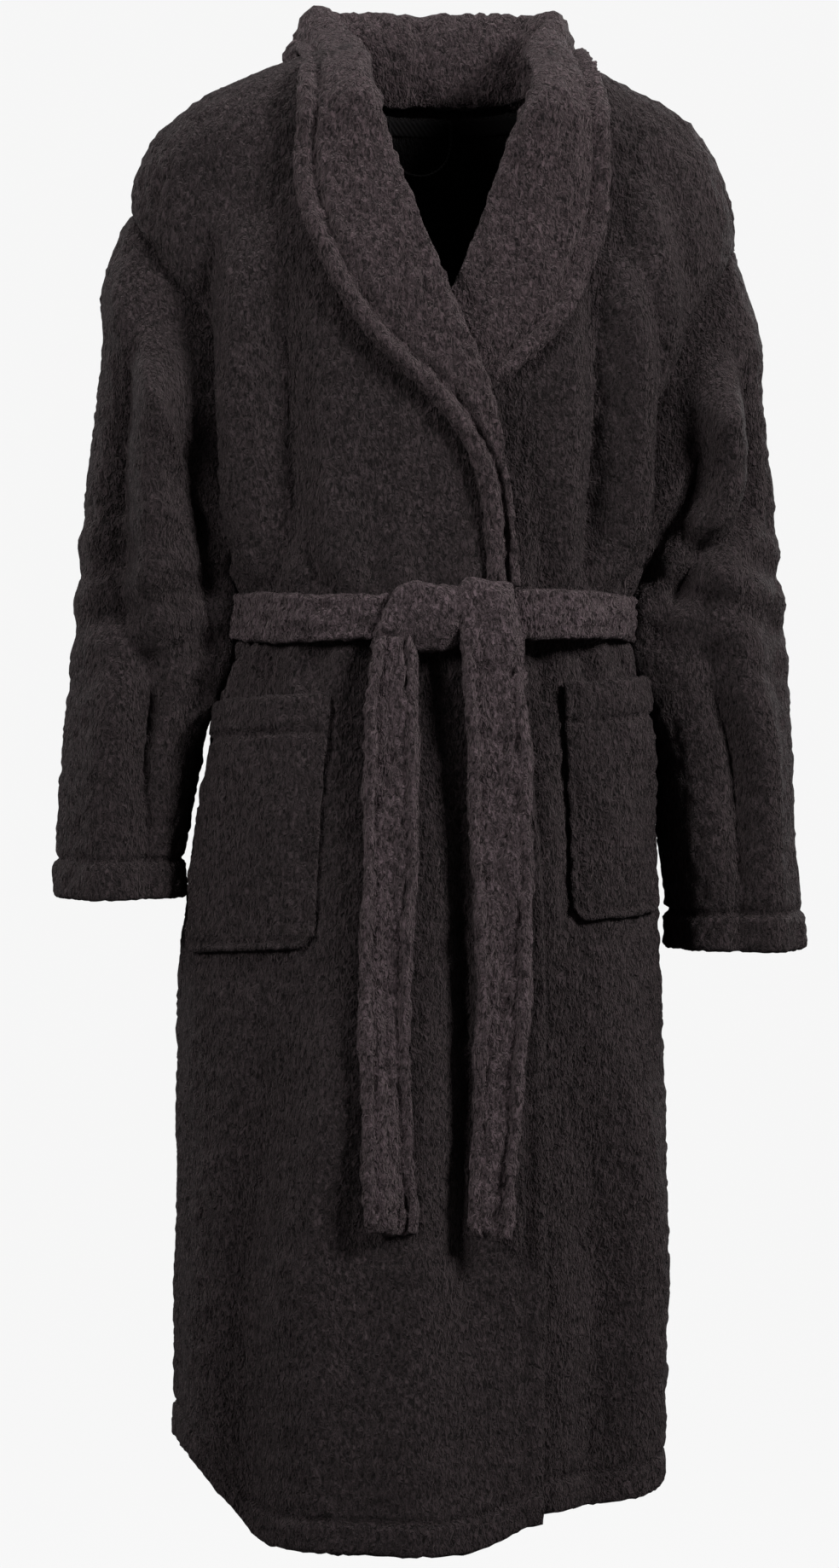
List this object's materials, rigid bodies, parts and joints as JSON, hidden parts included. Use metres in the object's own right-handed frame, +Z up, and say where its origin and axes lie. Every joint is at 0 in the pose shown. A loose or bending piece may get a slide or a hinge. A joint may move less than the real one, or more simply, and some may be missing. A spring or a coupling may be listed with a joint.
{
  "type": "bathrobe",
  "caption": "Long fleece bathrobe with shawl collar, patch pockets and tied sash belt; wraps over in front and hangs open at the bottom.",
  "frame": {"origin": "centre back of the neck seam, on the inside face of the back panel, where the neck or the hanging loop holds the robe", "axes": "+Z up, the front of the robe faces -Y, the wearer's right sleeve is at -X"},
  "size_m": [0.6092, 0.3282, 1.2473],
  "materials": {
    "fleece": "thick curly fleece pile, matt",
    "tape": "woven tape, matt"
  },
  "bodies": {
    "robe": {"back_panel": "fleece", "back_hem": "fleece", "right_front_panel": "fleece", "right_front_hem": "fleece", "right_front_band": "fleece", "right_lapel": "fleece", "right_pocket": "fleece", "right_pocket_hem": "fleece", "right_belt_loop": "fleece", "left_front_panel": "fleece", "left_front_hem": "fleece", "left_front_band": "fleece", "left_lapel": "fleece", "left_pocket": "fleece", "left_pocket_hem": "fleece", "left_belt_loop": "fleece", "back_collar": "fleece", "belt_band": "fleece", "belt_knot_wrap": "fleece", "belt_knot_loop": "fleece", "neck_tape": "tape"},
    "right_sleeve": {"right_sleeve": "fleece", "right_cuff": "fleece"},
    "left_sleeve": {"left_sleeve": "fleece", "left_cuff": "fleece"},
    "right_belt_end": {"right_belt_tail": "fleece"},
    "left_belt_end": {"left_belt_tail": "fleece"},
    "hanging_loop": {"hanging_loop": "tape"}
  },
  "joints": [
    {"name": "right_sleeve_lift", "type": "hinge", "parent": "robe", "child": "right_sleeve", "pos_m": [-0.24677, -0.07087, -0.08735], "axis": [0, 1, 0], "range_deg": [0, 50]},
    {"name": "left_sleeve_lift", "type": "hinge", "parent": "robe", "child": "left_sleeve", "pos_m": [0.24677, -0.07087, -0.08735], "axis": [0, -1, 0], "range_deg": [0, 50]},
    {"name": "right_belt_end_swing", "type": "hinge", "parent": "robe", "child": "right_belt_end", "pos_m": [-0.0497, -0.2168, -0.4463], "axis": [-1, 0, 0], "range_deg": [0, 60]},
    {"name": "left_belt_end_swing", "type": "hinge", "parent": "robe", "child": "left_belt_end", "pos_m": [0.0317, -0.2182, -0.4523], "axis": [-1, 0, 0], "range_deg": [0, 60]},
    {"name": "hanging_loop_flip", "type": "hinge", "parent": "robe", "child": "hanging_loop", "pos_m": [0, -0.0092, -0.004], "axis": [-1, 0, 0], "range_deg": [0, 150]}
  ]
}
